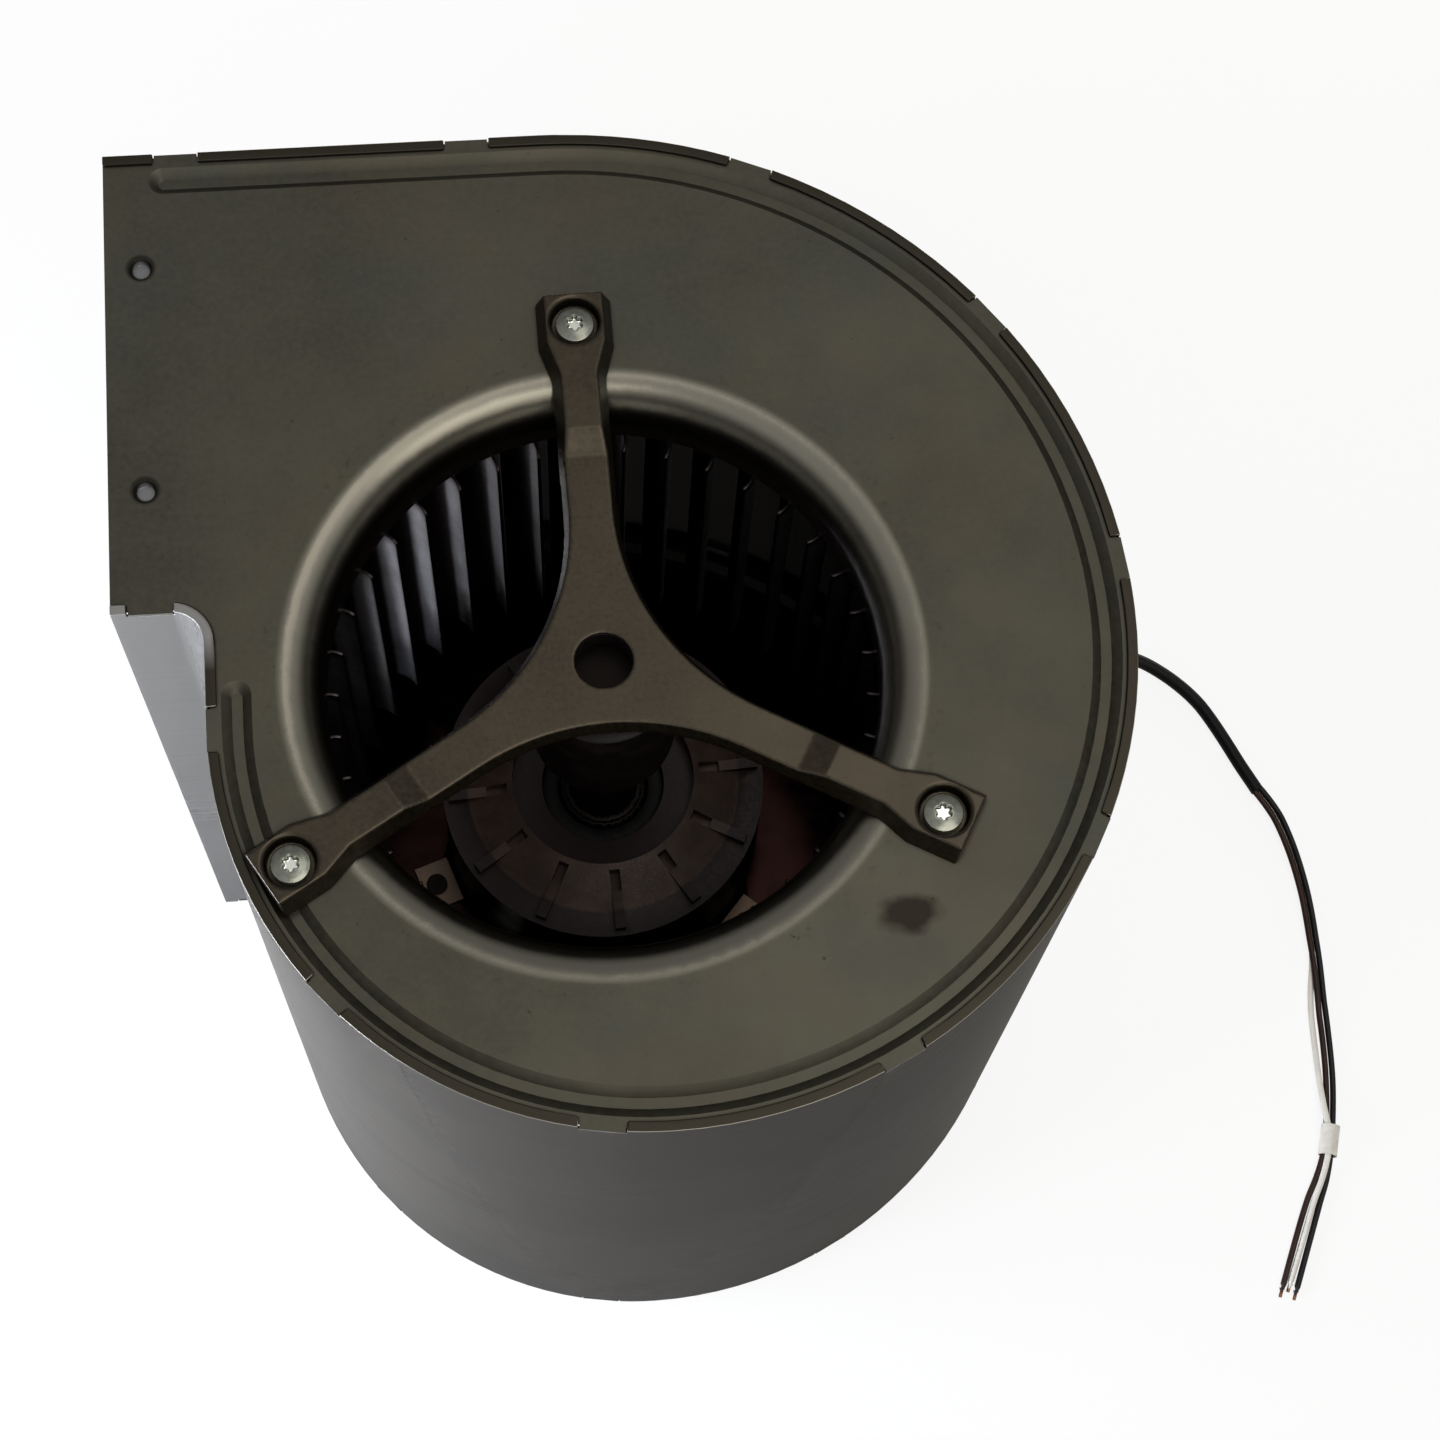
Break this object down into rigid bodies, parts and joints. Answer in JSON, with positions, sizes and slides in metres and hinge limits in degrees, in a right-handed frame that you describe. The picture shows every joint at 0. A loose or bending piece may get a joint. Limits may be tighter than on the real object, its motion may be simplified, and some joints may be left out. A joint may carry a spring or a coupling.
{
  "type": "radial fan",
  "caption": "Radial fan with an inlet on each side: galvanised scroll housing, rectangular outlet, armed inlet brackets, external rotor motor, forward-curved drum wheel and loose cable leads.",
  "frame": {"origin": "middle of the housing's box on the plane of the lower bracket's tabs, on which the fan rests", "axes": "+Z along the fan axis, up out of the upper inlet; -X out of the outlet; +Y towards the outlet's upper wall"},
  "size_m": [0.3228, 0.2531, 0.2502],
  "materials": {
    "plate_sheet": "galvanised, dull",
    "wrapper_sheet": "galvanised, dull",
    "bracket_sheet": "galvanised, dull",
    "screw_zinc": "zinc plated",
    "cup_paint": "satin black",
    "black_rubber": "matt",
    "ground_steel": "ground",
    "laminated_steel": "laminated",
    "insulator_plastic": "matt",
    "winding_copper": "enamelled wire",
    "rotor_paint": "satin black",
    "cast_aluminium": "as cast",
    "wheel_sheet": "galvanised",
    "sleeve_black": "satin",
    "lead_black": "insulated wire",
    "lead_brown": "insulated wire",
    "lead_white": "insulated wire",
    "band_white": "tape"
  },
  "bodies": {
    "housing": {"side_plate_upper": "plate_sheet", "side_plate_lower": "plate_sheet", "scroll_wrapper": "wrapper_sheet", "outlet_strip_upper": "wrapper_sheet", "outlet_strip_lower": "wrapper_sheet", "bracket_upper": "bracket_sheet", "bracket_lower": "bracket_sheet", "bracket_screws_upper": "screw_zinc", "bracket_screws_lower": "screw_zinc", "axle_cup_upper": "cup_paint", "axle_cup_lower": "cup_paint", "rubber_bush_upper": "black_rubber", "rubber_bush_lower": "black_rubber", "axle": "ground_steel", "axle_circlips": "ground_steel", "stator_core": "laminated_steel", "stator_insulators": "insulator_plastic", "stator_windings": "winding_copper", "bearing_inner_races": "ground_steel", "strain_relief": "black_rubber", "cable_sleeve": "sleeve_black", "lead_black": "lead_black", "lead_brown": "lead_brown", "lead_white": "lead_white", "lead_band": "band_white"},
    "wheel": {"rotor_shell": "rotor_paint", "rotor_core": "laminated_steel", "rotor_cage": "cast_aluminium", "end_shield_upper": "cast_aluminium", "end_shield_lower": "cast_aluminium", "bearing_outer_races": "ground_steel", "bearing_balls": "ground_steel", "bearing_seals": "black_rubber", "impeller_disc": "wheel_sheet", "impeller_blades_upper": "wheel_sheet", "impeller_blades_lower": "wheel_sheet", "impeller_ring_upper": "wheel_sheet", "impeller_ring_lower": "wheel_sheet", "fixing_lugs": "wheel_sheet", "lug_rivets": "screw_zinc", "balance_weight": "screw_zinc"}
  },
  "joints": [
    {"name": "wheel_spin", "type": "hinge", "parent": "housing", "child": "wheel", "pos_m": [-0.00573, -0.0136, 0.1251], "axis": [0, 0, 1], "continuous": true}
  ]
}
